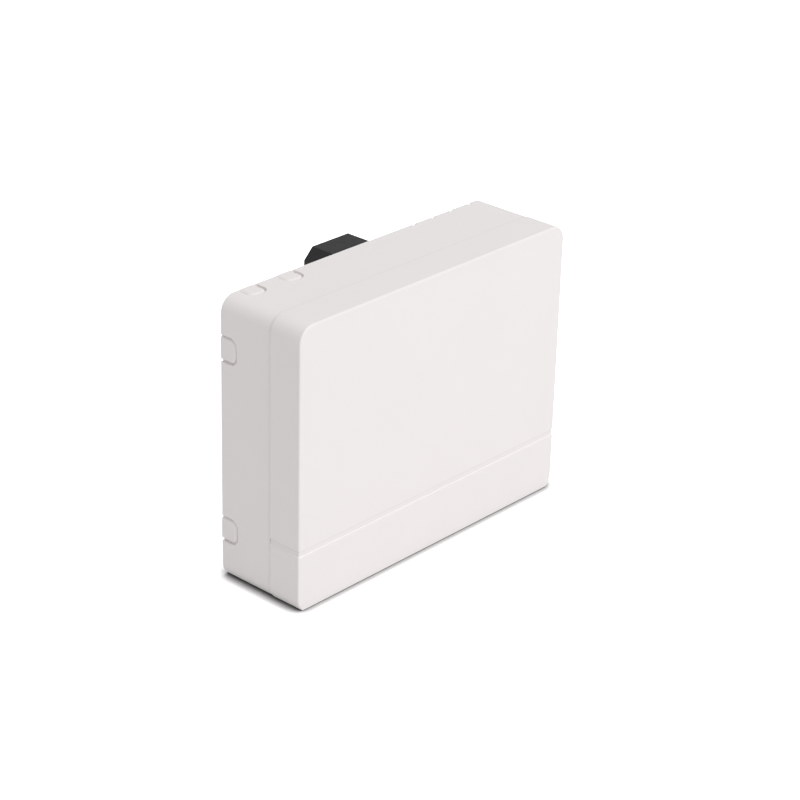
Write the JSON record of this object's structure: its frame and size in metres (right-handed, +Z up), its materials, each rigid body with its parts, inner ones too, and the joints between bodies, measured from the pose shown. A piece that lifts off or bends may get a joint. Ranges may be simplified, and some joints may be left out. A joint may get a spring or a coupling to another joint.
{
  "type": "din rail fibre box",
  "caption": "White wall-box for fibre splices and adapters, with push-on covers, edge knock-outs and a black sprung clip for a top-hat rail.",
  "frame": {"origin": "centre of the bounding box on the surface that the box stands on", "axes": "+Z up, front cover towards -Y, rail clip towards +Y, rail along X"},
  "size_m": [0.125, 0.0482, 0.0983],
  "materials": {
    "housing_white": "fine satin moulded white",
    "clip_black": "satin moulded black",
    "inner_white": "plain moulded white",
    "adapter_green": "smooth moulded green",
    "holder_natural": "natural moulded plastic",
    "ceramic_white": "polished ceramic",
    "cap_white": "soft moulded cap",
    "screw_steel": "zinc plated",
    "spring_steel": "drawn wire"
  },
  "bodies": {
    "housing": {"base_shell": "housing_white", "din_clip": "clip_black", "latch_spring": "spring_steel", "clip_screws": "screw_steel", "adapter_retainer": "inner_white", "retainer_screws": "screw_steel", "splice_holder": "inner_white", "cable_clamp_left": "inner_white", "cable_clamp_right": "inner_white", "clamp_screws_left": "screw_steel", "clamp_screws_right": "screw_steel", "sc_adapter_1": "adapter_green", "sleeve_holder_1": "holder_natural", "alignment_sleeve_1": "ceramic_white", "dust_cap_1": "cap_white", "inner_cap_1": "cap_white", "sc_adapter_2": "adapter_green", "sleeve_holder_2": "holder_natural", "alignment_sleeve_2": "ceramic_white", "dust_cap_2": "cap_white", "inner_cap_2": "cap_white", "sc_adapter_3": "adapter_green", "sleeve_holder_3": "holder_natural", "alignment_sleeve_3": "ceramic_white", "dust_cap_3": "cap_white", "inner_cap_3": "cap_white", "sc_adapter_4": "adapter_green", "sleeve_holder_4": "holder_natural", "alignment_sleeve_4": "ceramic_white", "dust_cap_4": "cap_white", "inner_cap_4": "cap_white"},
    "main_cover": {"main_cover": "housing_white"},
    "lower_cover": {"lower_cover": "housing_white"},
    "din_latch": {"din_latch": "clip_black"}
  },
  "joints": [
    {"name": "main_cover_pull", "type": "slide", "parent": "housing", "child": "main_cover", "axis": [0, -1, 0], "range_m": [0, 0.03]},
    {"name": "lower_cover_pull", "type": "slide", "parent": "housing", "child": "lower_cover", "axis": [0, -1, 0], "range_m": [0, 0.03]},
    {"name": "latch_slide", "type": "slide", "parent": "housing", "child": "din_latch", "axis": [0, 0, 1], "range_m": [0, 0.004], "stiffness_N_per_m": 600, "springref_m": -0.003, "deforming": ["latch_spring"]}
  ]
}
